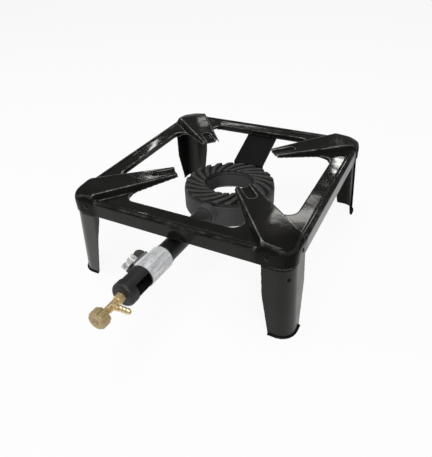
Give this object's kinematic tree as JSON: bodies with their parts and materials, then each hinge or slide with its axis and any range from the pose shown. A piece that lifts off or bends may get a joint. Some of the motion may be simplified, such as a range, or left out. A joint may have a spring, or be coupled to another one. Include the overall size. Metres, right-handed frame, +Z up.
{
  "type": "outdoor gas burner",
  "caption": "Low square gas burner stand on splayed sheet legs with corner pan rests, a cast swirl-ribbed ring burner, sliding air shutter, needle valve and side hose nozzle.",
  "frame": {"origin": "on the floor under the middle of the bounding box", "axes": "+X to the side the hose nozzle points to, -Y towards the valve and its knob, +Z up"},
  "size_m": [0.3122, 0.4364, 0.1255],
  "materials": {
    "enamel": "gloss",
    "strap_paint": "satin",
    "tube_paint": "satin",
    "cast_iron": "matte",
    "head_iron": "matte",
    "dark_steel": "satin",
    "pale_metal": "satin",
    "zinc_steel": "satin",
    "brass": "satin",
    "knob_brass": "matte",
    "rubber": "matte"
  },
  "bodies": {
    "stand": {"top_frame": "enamel", "leg_front_left": "enamel", "leg_front_right": "enamel", "leg_rear_right": "enamel", "leg_rear_left": "enamel", "leg_rivets": "enamel", "rear_strap": "strap_paint", "rear_strap_rivets": "enamel", "rear_strap_bolts": "dark_steel", "front_hanger": "strap_paint", "front_hanger_rivets": "enamel", "front_hanger_screw": "dark_steel", "burner_bowl": "cast_iron", "burner_cap": "cast_iron", "cap_screws": "dark_steel", "venturi_tube": "tube_paint", "mixing_head": "head_iron", "valve_body": "brass", "valve_locknut": "brass", "gas_jet": "brass", "hose_nozzle": "brass", "gland_nut": "brass"},
    "air_shutter": {"air_shutter": "pale_metal"},
    "wing_screw": {"wing_screw": "zinc_steel"},
    "valve_stem": {"stem_seal": "rubber"},
    "control_knob": {"valve_spindle": "brass", "control_knob": "knob_brass", "knob_screw": "brass"}
  },
  "joints": [
    {"name": "air_shutter_slide", "type": "slide", "parent": "stand", "child": "air_shutter", "axis": [0, -0.9988, 0.0489], "range_m": [0, 0.024]},
    {"name": "wing_screw_turn", "type": "hinge", "parent": "air_shutter", "child": "wing_screw", "pos_m": [0, -0.13521, 0.08405], "axis": [-0.829, 0.0273, 0.5585], "range_deg": [0, 90]},
    {"name": "spindle_travel", "type": "slide", "parent": "stand", "child": "valve_stem", "axis": [0, -0.9988, 0.0489], "range_m": [0, 0.002]},
    {"name": "knob_turn", "type": "hinge", "parent": "valve_stem", "child": "control_knob", "pos_m": [0, -0.20633, 0.08753], "axis": [0, -0.9988, 0.0489], "range_deg": [0, 720]}
  ],
  "couplings": [
    {"joint": "knob_turn", "follows": "spindle_travel", "rad_per_m": 6283.2}
  ]
}
